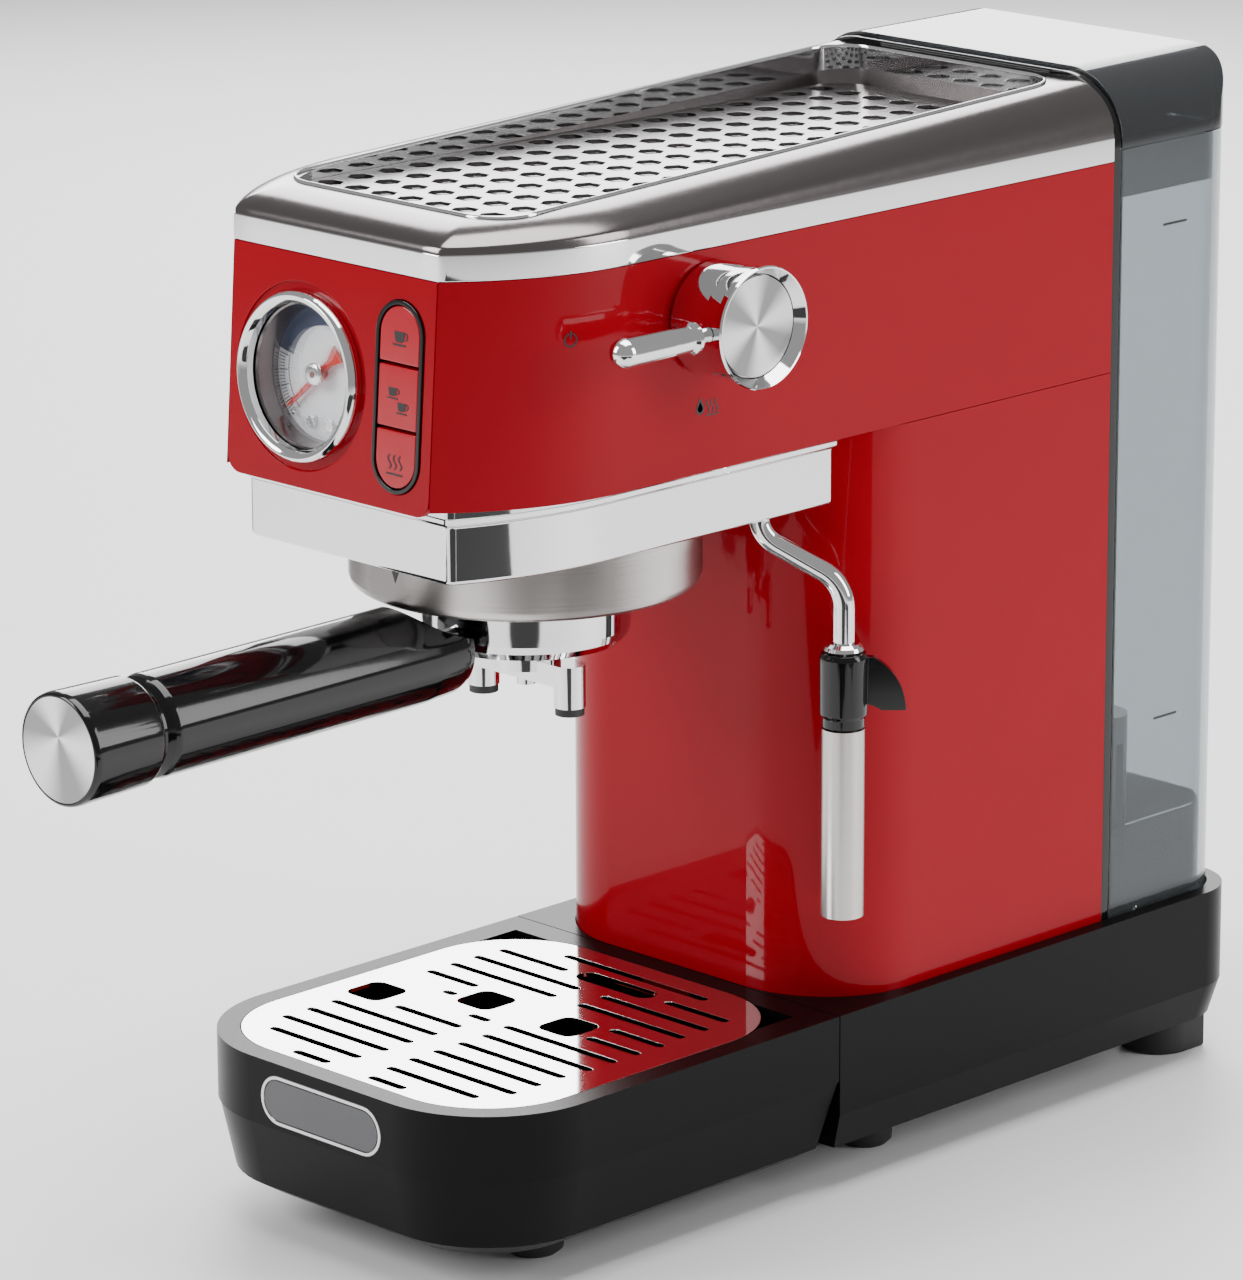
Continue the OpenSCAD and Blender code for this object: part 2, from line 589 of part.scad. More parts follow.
slope_l = (wand_reach - (bend_1 + bend_2) * (1 - cos(bend_a))) / sin(bend_a);
elbow_z = bend_z - bend_1 * sin(bend_a);
lower_z = elbow_z - slope_l * cos(bend_a) - bend_2 * sin(bend_a);
lap = 0.2;               // how far each straight reaches into a bend
bend_tube = pipe_r - 0.06;
module bend(r) rotate([90, 0, 0]) rotate_extrude(angle = bend_a) translate([r, 0]) circle(r = bend_tube);
module steam_pipe() color("#cdcdcf") wand_frame() {
    translate([0, 0, bend_z - lap]) cylinder(r = pipe_r, h = 11 + lap);
    translate([bend_1, 0, bend_z]) rotate([0, 0, 180]) mirror([0, 0, 1]) bend(bend_1);
    translate([bend_1 * (1 - cos(bend_a)), 0, elbow_z]) rotate([0, 180 - bend_a, 0])
        translate([0, 0, -lap]) cylinder(r = pipe_r, h = slope_l + 2 * lap);
    translate([wand_reach - bend_2, 0, lower_z]) bend(bend_2);
    translate([wand_reach, 0, 96]) cylinder(r = pipe_r, h = lower_z + lap - 96);
}
module wand_nut() color("#c9c9cb") translate([wand_pivot[0], wand_pivot[1], 0])
    rotate_extrude() polygon([[pipe_r + 0.05, 194.7], [3.9, 194.7], [3.9, 203],
        [pipe_r + 0.05, 203]]);
grip_z = 137;
sleeve_top = 134;
sleeve_z = 80.5;
sleeve_r = 5.9;
washer_z = 155.2;
module wand_washer() color("#d2d2d4") wand_tip() translate([0, 0, washer_z]) rotate_extrude()
    polygon([[pipe_r + 0.05, 0], [5.2, 0], [5.6, 0.8], [5.2, 1.8], [4.2, 2.6], [pipe_r + 0.05, 2.6]]);
module wand_grip() color("#151515") wand_tip() {
    rotate_extrude() polygon([[pipe_r + 0.05, sleeve_top - 6], [sleeve_r - 0.75, sleeve_top - 6],
        [sleeve_r - 0.75, sleeve_top], [5.9, sleeve_top + 0.4], [5.9, grip_z], [6.6, grip_z + 1],
        [6.7, washer_z - 1.5], [6, washer_z], [pipe_r + 0.05, washer_z]]);
    rotate(45) difference() {
        translate([0, 1.4, grip_z + 2]) rotate([90, 0, 0]) linear_extrude(2.8) intersection() {
            circle(r = 17);
            translate([6, 0]) square([11, 15]);
        }
        translate([4, 3, grip_z - 7]) rotate([90, 0, 0]) cylinder(r = 11, h = 6);
    }
}
module frother_sleeve() color("#bdb6b0") wand_tip() difference() {
    translate([0, 0, sleeve_z]) cylinder(r = sleeve_r, h = sleeve_top - sleeve_z - 0.2);
    translate([0, 0, sleeve_z + 1.2]) cylinder(r = sleeve_r - 0.7, h = 80);
    translate([0, 0, sleeve_z - 1]) cylinder(r = 1.6, h = 4);
    rotate(-45) translate([0, 0, sleeve_z + 12]) rotate([90, 0, 0]) cylinder(r = 0.6, h = 10);
}

// ---- inside ----
module boiler() color("#9a9c9f") brew_axis() {
    translate([0, 0, 216]) cylinder(r = 33, h = 30);
    translate([0, 0, 246]) cylinder(r = 28, h = 12);
    translate([0, 8, 258]) cylinder(r = 5, h = 7);
}
pump_y = 190;
pump_z = 100;
module pump() color("#3b3c3f") translate([0, pump_y, pump_z]) {
    translate([-22, -20, -19]) cube([44, 40, 38]);
    translate([0, -44, 0]) inwards(0) cylinder(r = 14, h = 24);
    translate([0, -52, 0]) inwards(0) cylinder(r = 5, h = 8);
    translate([0, 20, 0]) inwards(0) cylinder(r = 9, h = 12);
}
module pump_mounts() color("#1a1a1a") for (x = [-14, 14]) translate([x, pump_y + 12, deck_z])
    cylinder(r = 6, h = pump_z - 19 - deck_z);
hose_r = 3;
module hoses() color("#d7d9d4") {
    // tank to pump
    run([[valve_xy[0], valve_xy[1], 45.8], [valve_xy[0], valve_xy[1], 35], [valve_xy[0], 236, 35],
        [0, 212, 35], [0, 165, 35], [0, 133, 66], [0, 133, pump_z], [0, pump_y - 52.2, pump_z]], hose_r);
    // pump to boiler
    run([[0, pump_y + 32.2, pump_z], [0, 229, pump_z], [30, 229, 140], [34, 200, 218],
        [20, 130, 262], [0, group_y + 8, 270], [0, group_y + 8, 265.2]], hose_r);
    // boiler to steam valve
    run([[34, group_y + 4, 238], [46, knob_y, 233], [46, knob_y, 239.8]], hose_r - 1);
    // steam valve to wand
    run([[wand_pivot[0], knob_y + 9.2, 254], [wand_pivot[0], wand_pivot[1], 254],
        [wand_pivot[0], wand_pivot[1], 205]], hose_r - 1);
}
module control_board() color("#2f6b3a") translate([0, 0, head_z + 2]) {
    for (x = [-52, -22], y = [110, 150]) translate([x, y, 0]) cylinder(r = 2.5, h = 8);
    translate([-56, 104, 8]) cube([38, 52, 1.6]);
    translate([-52, 114, 9.6]) cube([18, 16, 14]);
    translate([-30, 136, 9.6]) cube([10, 14, 12]);
}

// ---- water tank ----
hinge_y = tank_rear + 0.4;
hinge_z = lid_z;
knuckle_r = 2;
pin_r = 1;
knuckle_x = 28;
lug_w = 6;
tank_hw = hw - 0.3;
module hinge_line() translate([0, hinge_y, hinge_z]) rotate([0, 90, 0]) children();
module water_tank() color("#5d646a", 0.5) {
    difference() {
        translate([0, 0, deck_z + 0.2]) linear_extrude(lid_z - deck_z - 0.6)
            rear_rounded(tank_hw, tank_y0, tank_rear, tank_r);
        translate([0, 0, deck_z + 3.2]) linear_extrude(big)
            rear_rounded(tank_hw - tank_wall, tank_y0 + tank_wall, tank_rear - tank_wall,
                tank_r - tank_wall);
        translate([valve_xy[0], valve_xy[1], 0]) cylinder(r = 6.1, h = 80);
        hinge_line() translate([0, 0, -knuckle_x - 0.3]) cylinder(r = knuckle_r + gap, h = 2 * knuckle_x + 0.6);
    }
    mirrored() hinge_line() {
        translate([0, 0, knuckle_x + 0.3]) cylinder(r = knuckle_r, h = lug_w);
        translate([0, 0, knuckle_x - 6]) cylinder(r = pin_r, h = 8);
    }
}
module tank_lid() color("#4c5054", 0.6) difference() {
    union() {
        intersection() {
            translate([0, 0, lid_z]) linear_extrude(big) rear_rounded(hw, tank_y0 - 0.2, tank_rear, tank_r);
            translate([0, big, 0]) rotate([90, 0, 0]) linear_extrude(2 * big)
                arch(hw, lid_z, lid_top, arch_r);
        }
        hinge_line() translate([0, 0, -knuckle_x]) cylinder(r = knuckle_r, h = 2 * knuckle_x);
    }
    intersection() {
        translate([0, 0, lid_z - 1]) linear_extrude(big)
            rear_rounded(hw - 2, tank_y0 + 1.8, tank_rear - 3.5, tank_r - 2);
        translate([0, big, 0]) rotate([90, 0, 0]) linear_extrude(2 * big)
            arch(hw - 2, lid_z - 1, lid_top - 2, arch_r - 2);
    }
    hinge_line() translate([0, 0, -knuckle_x - 1]) cylinder(r = pin_r + 0.05, h = 2 * knuckle_x + 2);
    mirrored() hinge_line() translate([0, 0, knuckle_x]) cylinder(r = knuckle_r + gap, h = lug_w + 0.6);
}
module tank_valve() color("#7d868c") translate([valve_xy[0], valve_xy[1], deck_z]) difference() {
    union() {
        translate([0, 0, -1.6]) cylinder(r = 6, h = 6);
        translate([0, 0, 3.2]) cylinder(r = 8, h = 53);
    }
    translate([0, 0, -2]) cylinder(r = 3, h = 50);
    for (a = [0, 90]) rotate(a) translate([-10, -1.5, 12]) cube([20, 3, 36]);
}
module tank_seat() color("#2d2d2d") translate([valve_xy[0], valve_xy[1], deck_z - deck_t])
    difference() {
        tube(seat_r - 0.1, hose_r + 0.5, deck_t - 0.2);
        translate([0, 0, 0.8]) cylinder(r = 7, h = 4);
    }

place() {
    base_housing();
    base_plate();
    base_screws();
    rear_feet();
    middle_feet();
    cord_gland();
    drip_tray();
    tray_feet();
    badge_plate();
    drip_grille();
    drip_float();
    column_shell();
    rear_frame();
    head_shell();
    front_panel();
    top_rim();
    cup_plate();
    chrome_collar();
    group_ring();
    brew_head();
    group_seal();
    shower_screen();
    screen_screw();
    filter_holder();
    filter_basket();
    spout();
    spout_tips();
    handle_stud();
    handle_grip();
    handle_cap();
    cap_disc();
    gauge_case();
    gauge_bezel();
    gauge_dial();
    gauge_glass();
    gauge_needle();
    button_surround();
    button_one_cup();
    button_two_cups();
    button_steam();
    switch_board();
    steam_knob();
    knob_disc();
    steam_lever();
    steam_valve();
    wand_nut();
    steam_pipe();
    wand_washer();
    wand_grip();
    frother_sleeve();
    boiler();
    pump();
    pump_mounts();
    hoses();
    control_board();
    water_tank();
    tank_lid();
    tank_valve();
    tank_seat();
}
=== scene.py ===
import bpy
import bmesh
import json
import math
from mathutils import Vector, Matrix


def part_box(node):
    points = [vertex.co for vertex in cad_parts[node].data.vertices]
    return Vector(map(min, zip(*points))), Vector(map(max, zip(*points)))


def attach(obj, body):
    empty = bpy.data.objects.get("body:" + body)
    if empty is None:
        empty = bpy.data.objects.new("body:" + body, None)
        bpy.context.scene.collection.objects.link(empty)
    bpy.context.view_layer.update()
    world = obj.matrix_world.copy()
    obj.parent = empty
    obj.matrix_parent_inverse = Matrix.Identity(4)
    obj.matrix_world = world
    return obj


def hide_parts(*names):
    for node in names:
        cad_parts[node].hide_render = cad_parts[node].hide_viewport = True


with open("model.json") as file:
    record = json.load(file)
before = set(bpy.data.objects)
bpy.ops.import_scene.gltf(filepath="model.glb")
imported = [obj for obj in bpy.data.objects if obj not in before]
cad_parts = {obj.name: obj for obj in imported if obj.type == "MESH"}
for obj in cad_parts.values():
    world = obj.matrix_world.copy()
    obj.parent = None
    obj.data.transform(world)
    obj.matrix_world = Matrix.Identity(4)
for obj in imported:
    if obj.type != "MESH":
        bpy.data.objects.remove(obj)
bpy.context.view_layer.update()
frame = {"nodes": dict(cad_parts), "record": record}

# ---------------------------------------------------------------- frame of the machine, in mm
base_low, base_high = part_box("base_housing")
BASE_HALF, BASE_REAR = 64.0, 300.0
SHIFT = Vector((-BASE_HALF - base_low.x * 1000, BASE_REAR - base_high.y * 1000, 0))
TO_ROW = Matrix.Scale(0.001, 4) @ Matrix.Translation(-SHIFT)
SEAM, LEAN = 274.0, math.radians(4)
PANEL = Matrix.Translation((0, 0, SEAM)) @ Matrix.Rotation(-LEAN, 4, "X")
FRONT = Matrix.Rotation(math.radians(90), 4, "X")      # local x, y, z to x, z, -y
GAUGE = PANEL @ Matrix.Translation((-11.4, 0, -32.3)) @ FRONT
BUTTON = PANEL @ Matrix.Translation((26.2, -0.4, -31.8)) @ FRONT
RIGHT = Matrix(((0, 0, 1, 0), (1, 0, 0, 0), (0, 1, 0, 0), (0, 0, 0, 1)))   # local x, y, z to y, z, x


# ---------------------------------------------------------------- materials
def node_material(name):
    m = bpy.data.materials.new(name)
    m.use_nodes = True
    return m, m.node_tree.nodes, m.node_tree.links, m.node_tree.nodes["Principled BSDF"]


def surface(name, color, rough, metal=0.0, grain=400, depth=0.02, spread=0.05, tint=0.06,
            stretch=(1, 1, 1), **sockets):
    """A procedural finish: fine grain in the colour, the roughness and the relief."""
    m, nodes, links, bsdf = node_material(name)
    coords = nodes.new("ShaderNodeTexCoord")
    mapping = nodes.new("ShaderNodeMapping")
    mapping.inputs["Scale"].default_value = stretch
    fine = nodes.new("ShaderNodeTexNoise")
    fine.inputs["Scale"].default_value = grain
    fine.inputs["Detail"].default_value = 4
    broad = nodes.new("ShaderNodeTexNoise")
    broad.inputs["Scale"].default_value = grain / 25
    broad.inputs["Detail"].default_value = 3
    shade = nodes.new("ShaderNodeMix")
    shade.data_type = "RGBA"
    shade.inputs["A"].default_value = [max(0, c * (1 - tint)) for c in color] + [1]
    shade.inputs["B"].default_value = [min(1, c * (1 + tint)) for c in color] + [1]
    rough_map = nodes.new("ShaderNodeMapRange")
    rough_map.inputs["To Min"].default_value = max(0.0, rough - spread)
    rough_map.inputs["To Max"].default_value = rough + spread
    bump = nodes.new("ShaderNodeBump")
    bump.inputs["Strength"].default_value = depth
    bump.inputs["Distance"].default_value = 0.0005
    links.new(coords.outputs["Object"], mapping.inputs["Vector"])
    for tex in (fine, broad):
        links.new(mapping.outputs["Vector"], tex.inputs["Vector"])
    links.new(broad.outputs["Fac"], shade.inputs["Factor"])
    links.new(shade.outputs["Result"], bsdf.inputs["Base Color"])
    links.new(fine.outputs["Fac"], rough_map.inputs["Value"])
    links.new(rough_map.outputs["Result"], bsdf.inputs["Roughness"])
    links.new(fine.outputs["Fac"], bump.inputs["Height"])
    links.new(bump.outputs["Normal"], bsdf.inputs["Normal"])
    bsdf.inputs["Metallic"].default_value = metal
    for key, value in sockets.items():
        bsdf.inputs[key.replace("_", " ")].default_value = value
    return m


def spun_with_painted_glints(name, centre, axis, color, wedges=2, phase=0.0):
    """Metal turned on a lathe: rings in the relief, and a painted highlight of bright wedges round the
    centre, in the colour.
    """
    m, nodes, links, bsdf = node_material(name)
    coords = nodes.new("ShaderNodeTexCoord")
    offset = nodes.new("ShaderNodeVectorMath")
    offset.operation = "SUBTRACT"
    offset.inputs[1].default_value = TO_ROW @ Vector(centre)
    split = nodes.new("ShaderNodeSeparateXYZ")
    angle = nodes.new("ShaderNodeMath")
    angle.operation = "ARCTAN2"
    links.new(coords.outputs["Object"], offset.inputs[0])
    links.new(offset.outputs["Vector"], split.inputs[0])
    first = {"X": "Y", "Y": "X", "Z": "X"}[axis]
    second = {"X": "Z", "Y": "Z", "Z": "Y"}[axis]
    links.new(split.outputs[second], angle.inputs[0])
    links.new(split.outputs[first], angle.inputs[1])
    times = nodes.new("ShaderNodeMath")
    times.operation = "MULTIPLY_ADD"
    times.inputs[1].default_value = wedges
    times.inputs[2].default_value = phase
    # painted highlight: the sine of the angle round the centre lays bright and dark wedges into the base
    # colour in place of the metal's reflections
    painted_glint = nodes.new("ShaderNodeMath")
    painted_glint.operation = "SINE"
    links.new(angle.outputs[0], times.inputs[0])
    links.new(times.outputs[0], painted_glint.inputs[0])
    length = nodes.new("ShaderNodeVectorMath")
    length.operation = "LENGTH"
    links.new(offset.outputs["Vector"], length.inputs[0])
    rings = nodes.new("ShaderNodeTexNoise")
    rings.noise_dimensions = "1D"
    rings.inputs["Scale"].default_value = 9000
    rings.inputs["Detail"].default_value = 5
    links.new(length.outputs["Value"], rings.inputs["W"])
    ramp = nodes.new("ShaderNodeValToRGB")
    ramp.color_ramp.elements[0].position = 0.1
    ramp.color_ramp.elements[0].color = [c * 0.42 for c in color] + [1]
    ramp.color_ramp.elements[1].position = 0.93
    ramp.color_ramp.elements[1].color = [min(1, c * 1.25) for c in color] + [1]
    half = nodes.new("ShaderNodeMath")
    half.operation = "MULTIPLY_ADD"
    half.inputs[1].default_value = 0.5
    half.inputs[2].default_value = 0.5
    links.new(painted_glint.outputs[0], half.inputs[0])
    add = nodes.new("ShaderNodeMath")
    add.operation = "MULTIPLY_ADD"
    add.inputs[1].default_value = 0.25
    links.new(rings.outputs["Fac"], add.inputs[0])
    links.new(half.outputs[0], add.inputs[2])
    less = nodes.new("ShaderNodeMath")
    less.operation = "SUBTRACT"
    less.inputs[1].default_value = 0.125
    links.new(add.outputs[0], less.inputs[0])
    links.new(less.outputs[0], ramp.inputs["Fac"])
    links.new(ramp.outputs["Color"], bsdf.inputs["Base Color"])
    bump = nodes.new("ShaderNodeBump")
    bump.inputs["Strength"].default_value = 0.08
    bump.inputs["Distance"].default_value = 0.0004
    links.new(rings.outputs["Fac"], bump.inputs["Height"])
    links.new(bump.outputs["Normal"], bsdf.inputs["Normal"])
    bsdf.inputs["Metallic"].default_value = 1.0
    bsdf.inputs["Roughness"].default_value = 0.3
    return m


RED = surface("red_lacquer", (0.31, 0.0004, 0.008), 0.2, grain=900, depth=0.01, spread=0.02,
              tint=0.04, Specular_IOR_Level=0.04, Coat_Weight=0.3, Coat_Roughness=0.03,
              Coat_IOR=1.38)
CHROME = surface("chrome", (0.80, 0.80, 0.81), 0.05, 1.0, grain=300, depth=0.006, spread=0.02)
DARK = surface("dark_steel", (0.20, 0.18, 0.18), 0.17, 1.0, grain=500, depth=0.01, spread=0.03)
STEEL = surface("steel", (0.66, 0.655, 0.65), 0.22, 1.0, grain=260, depth=0.03, spread=0.06,
                stretch=(1, 12, 12))
MIRROR = surface("mirror_steel", (0.80, 0.80, 0.80), 0.06, 1.0, grain=260, depth=0.01, spread=0.02)
SATIN = surface("satin_steel", (0.56, 0.53, 0.51), 0.3, 1.0, grain=200, depth=0.03, spread=0.05,
                stretch=(1, 1, 14))
PLATE = surface("plate_steel", (0.26, 0.25, 0.248), 0.24, 1.0, grain=260, depth=0.01, spread=0.04)
BLACK = surface("black_gloss", (0.003, 0.003, 0.0033), 0.1, grain=500, depth=0.006, spread=0.03,
                Specular_IOR_Level=0.25, Coat_Weight=0.3, Coat_Roughness=0.03)
BASE = surface("black_base", (0.0035, 0.0032, 0.0034), 0.3, grain=1400, depth=0.04, spread=0.05,
               Specular_IOR_Level=0.1)
MATTE = surface("black_matte", (0.016, 0.016, 0.016), 0.55, grain=1500, depth=0.1)
RUBBER = surface("rubber", (0.012, 0.012, 0.012), 0.7, grain=1200, depth=0.15)
SMOKE = surface("smoke", (0.46, 0.50, 0.52), 0.04, grain=60, depth=0.01, spread=0.02,
                Transmission_Weight=0.93, IOR=1.35)
SMOKE_LID = surface("smoke_lid", (0.07, 0.075, 0.08), 0.05, grain=60, depth=0.01, spread=0.02,
                    Transmission_Weight=0.65, IOR=1.4)
GREY = surface("grey_plastic", (0.20, 0.22, 0.235), 0.4, grain=600, depth=0.05)
ALU = surface("aluminium", (0.55, 0.55, 0.56), 0.4, 1.0, grain=300, depth=0.15, spread=0.1)
BRASS = surface("brass", (0.60, 0.42, 0.16), 0.3, 1.0, grain=300, depth=0.05)
BOARD = surface("board", (0.02, 0.16, 0.05), 0.35, grain=250, depth=0.1)
HOSE = surface("hose", (0.62, 0.64, 0.60), 0.45, grain=300, depth=0.05)
RED_KEY = surface("red_key", (0.42, 0.001, 0.012), 0.2, grain=800, depth=0.01, Specular_IOR_Level=0.2,
                  Coat_Weight=0.5, Coat_Roughness=0.05)
DIAL = surface("dial", (0.90, 0.92, 0.95), 0.4, grain=900, depth=0.01)
INK = surface("ink", (0.008, 0.008, 0.009), 0.4, grain=900, depth=0.02)
BLUE = surface("dial_blue", (0.03, 0.045, 0.10), 0.4, grain=900, depth=0.02)
NEEDLE = surface("needle_red", (0.62, 0.02, 0.012), 0.3, grain=900, depth=0.02)
GLASS = surface("clear", (0.97, 0.98, 0.99), 0.01, grain=60, depth=0.0, spread=0.005, tint=0.01,
                Transmission_Weight=1.0, IOR=1.15, Alpha=0.2)
BADGE = surface("badge", (0.62, 0.62, 0.63), 0.22, 1.0, grain=700, depth=0.04)
BADGE_FACE = surface("badge_face", (0.10, 0.10, 0.105), 0.4, 0.7, grain=700, depth=0.04)
# these three finishes carry painted highlight wedges in their colour
KNOB_FACE = spun_with_painted_glints("knob_face", (77, 78, 256), "X", (0.62, 0.62, 0.62), 4, 0.6)
CAP_FACE = spun_with_painted_glints("cap_face", (0, -97, 165.5), "Y", (0.62, 0.62, 0.62), 3, 2.2)
RING = spun_with_painted_glints("turned_steel_glints", (0, 68, 185), "Z", (0.50, 0.47, 0.455), 5, 0.4)

LOOKS = {
    "base_housing": (BASE, 0.9), "base_plate": (MATTE, 0), "base_screws": (STEEL, 0),
    "rear_feet": (RUBBER, 0.8), "middle_feet": (RUBBER, 0), "cord_gland": (MATTE, 0.3),
    "drip_tray": (BASE, 0.8), "tray_feet": (RUBBER, 0), "badge_plate": (BADGE_FACE, 0),
    "drip_grille": (MIRROR, 0.25), "drip_float": (NEEDLE, 0.3), "column_shell": (RED, 0),
    "rear_frame": (BLACK, 0.5), "head_shell": (RED, 0.3), "front_panel": (RED, 0.3),
    "top_rim": (DARK, 0), "cup_plate": (PLATE, 0.2), "chrome_collar": (CHROME, 0.5),
    "group_ring": (RING, 0.3), "brew_head": (ALU, 0.3), "group_seal": (RUBBER, 0),
    "shower_screen": (STEEL, 0), "screen_screw": (STEEL, 0), "filter_holder": (CHROME, 0),
    "filter_basket": (STEEL, 0), "spout": (CHROME, 0.6), "spout_tips": (MATTE, 0),
    "handle_stud": (STEEL, 0), "handle_grip": (BLACK, 0.4), "handle_cap": (BLACK, 0.2),
    "cap_disc": (CAP_FACE, 0), "gauge_case": (DARK, 0.2), "gauge_bezel": (CHROME, 0.2),
    "gauge_dial": (DIAL, 0), "gauge_glass": (GLASS, 0), "gauge_needle": (NEEDLE, 0),
    "button_surround": (BLACK, 0.25), "button_one_cup": (RED_KEY, 0.5),
    "button_two_cups": (RED_KEY, 0.5), "button_steam": (RED_KEY, 0.5), "switch_board": (BOARD, 0),
    "steam_knob": (CHROME, 0), "knob_disc": (KNOB_FACE, 0), "steam_lever": (CHROME, 0),
    "steam_valve": (BRASS, 0), "wand_nut": (CHROME, 0), "steam_pipe": (CHROME, 0),
    "wand_washer": (CHROME, 0), "wand_grip": (BLACK, 0.3), "frother_sleeve": (SATIN, 0.3),
    "boiler": (ALU, 0), "pump": (MATTE, 0), "pump_mounts": (RUBBER, 0), "hoses": (HOSE, 0),
    "control_board": (BOARD, 0), "water_tank": (SMOKE, 0.4), "tank_lid": (SMOKE_LID, 0.6),
    "tank_valve": (GREY, 0.3), "tank_seat": (RUBBER, 0)}
BODY_OF = {n: b for b, ns in frame["record"]["behaviour"]["bodies"].items() for n in ns}


# ---------------------------------------------------------------- mesh helpers
def finish_mesh(bm, name, material, sharp=32):
    me = bpy.data.meshes.new(name)
    for f in bm.faces:
        f.smooth = True
    for e in bm.edges:
        e.smooth = len(e.link_faces) == 2 and e.calc_face_angle(0) < math.radians(sharp)
    bm.to_mesh(me)
    bm.free()
    if "custom_normal" in me.attributes:
        me.attributes.remove(me.attributes["custom_normal"])
    me.materials.append(material)
    o = bpy.data.objects.new(name, me)
    bpy.context.scene.collection.objects.link(o)
    even = o.modifiers.new("even", "WEIGHTED_NORMAL")
    even.keep_sharp = True
    baked = bpy.data.meshes.new_from_object(o.evaluated_get(bpy.context.evaluated_depsgraph_get()))
    o.modifiers.clear()
    o.data = baked
    bpy.data.meshes.remove(me)
    baked.name = name
    return o


def round_edges(bm, width, segments=2, sharp=32):
    edges = [e for e in bm.edges if len(e.link_faces) == 2
             and e.calc_face_angle(0) > math.radians(sharp)]
    bmesh.ops.bevel(bm, geom=edges, offset=width, offset_type="OFFSET", segments=segments,
                    profile=0.5, affect="EDGES", clamp_overlap=True)


def softened(node, width):
    """The CAD node's shape with its sharp edges rounded.

    The width is the most that is asked for. Short edges anywhere on the node limit all of it, so the
    base, tray, spout, handle grip, frothing sleeve and tank valve stay almost sharp.
    """
    material = LOOKS[node][0]
    bm = bmesh.new()
    bm.from_mesh(frame["nodes"][node].data)
    bmesh.ops.remove_doubles(bm, verts=bm.verts, dist=2e-6)
    for layer in list(bm.loops.layers.float_vector.values()):
        bm.loops.layers.float_vector.remove(layer)
    bmesh.ops.dissolve_limit(bm, angle_limit=math.radians(0.5), verts=bm.verts, edges=bm.edges)
    round_edges(bm, width / 1000)
    o = finish_mesh(bm, "look_" + node, material)
    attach(o, BODY_OF[node])
    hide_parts(node)
    return o


def piece(name, verts, faces, body, material, slot, place=None, bevel=0, replaces=(), sharp=32):
    place = place or Matrix.Identity(4)
    bm = bmesh.new()
    vs = [bm.verts.new(TO_ROW @ place @ Vector(v)) for v in verts]
    for f in faces:
        bm.faces.new([vs[i] for i in f])
    bmesh.ops.remove_doubles(bm, verts=bm.verts, dist=1e-7)
    bmesh.ops.recalc_face_normals(bm, faces=bm.faces)
    if bevel:
        round_edges(bm, bevel / 1000)
    o = finish_mesh(bm, name, material, sharp)
    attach(o, body)
    if replaces:
        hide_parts(*replaces)
    return o


def slab(lower, upper):
    """A closed slab between two outlines with the same number of points."""
    n = len(lower)
    faces = [list(range(n))[::-1], list(range(n, 2 * n))]
    faces += [[i, (i + 1) % n, n + (i + 1) % n, n + i] for i in range(n)]
    return list(lower) + list(upper), faces


def prism(outline, z0, z1):
    return slab([(x, y, z0) for x, y in outline], [(x, y, z1) for x, y in outline])


def several(*parts):
    verts, faces = [], []
    for v, f in parts:
        faces += [[i + len(verts) for i in face] for face in f]
        verts += v
    return verts, faces


def arc(cx, cy, r, a0, a1, n=24):
    return [(cx + r * math.cos(math.radians(a0 + (a1 - a0) * i / n)),
             cy + r * math.sin(math.radians(a0 + (a1 - a0) * i / n))) for i in range(n + 1)]


def band(cx, cy, r0, r1, a0, a1, n=48):
    """A flat part of a ring."""
    return arc(cx, cy, r1, a0, a1, n) + arc(cx, cy, r0, a1, a0, n)


def bar(x0, y0, x1, y1, w):
    d = Vector((x1 - x0, y1 - y0)).normalized()
    s = Vector((-d.y, d.x)) * w / 2
    return [(x0 + s.x, y0 + s.y), (x0 - s.x, y0 - s.y), (x1 - s.x, y1 - s.y), (x1 + s.x, y1 + s.y)]


# ---------------------------------------------------------------- outlines of the head
HALF, SHOULDER_Y, SHOULDER_R, REAR = 59.3, 50.0, 72.0, 240.0
FRONT_STEPS, CORNER_STEPS, SIDE_STEPS = 6, 24, 20


def spread(a, b, n):
    return [(a[0] + (b[0] - a[0]) * i / n, a[1] + (b[1] - a[1]) * i / n) for i in range(n)]


def whole(half):
    """A closed outline from its right half, which runs from the front to the rear."""
    return half + [(-x, y) for x, y in reversed(half[1:-1])]


def head(inset, front=None, rear=REAR):
    front = inset if front is None else front
    r = SHOULDER_R - inset
    turn = math.degrees(math.asin((SHOULDER_Y - front) / r))
    curve = arc(HALF - SHOULDER_R, SHOULDER_Y, r, -turn, 0, CORNER_STEPS)
    half = spread((0, front), curve[0], FRONT_STEPS) + curve[:-1]
    half += spread(curve[-1], (HALF - inset, rear), SIDE_STEPS)
    half += [(HALF - inset, rear)] * (CORNER_STEPS // 2)
    half += spread((HALF - inset, rear), (0, rear), FRONT_STEPS) + [(0, rear)]
    return whole(half)


def well(x, y0, y1, r):
    front = arc(x - r, y0 + r, r, -90, 0, CORNER_STEPS)
    rear = arc(x - r, y1 - r, r, 0, 90, CORNER_STEPS // 2)
    half = spread((0, y0), front[0], FRONT_STEPS) + front[:-1]
    half += spread(front[-1], rear[0], SIDE_STEPS) + rear[:-1]
    half += spread(rear[-1], (0, y1), FRONT_STEPS) + [(0, y1)]
    return whole(half)


def at(outline, z):
    return [(x, y, z(y) if callable(z) else z) for x, y in outline]


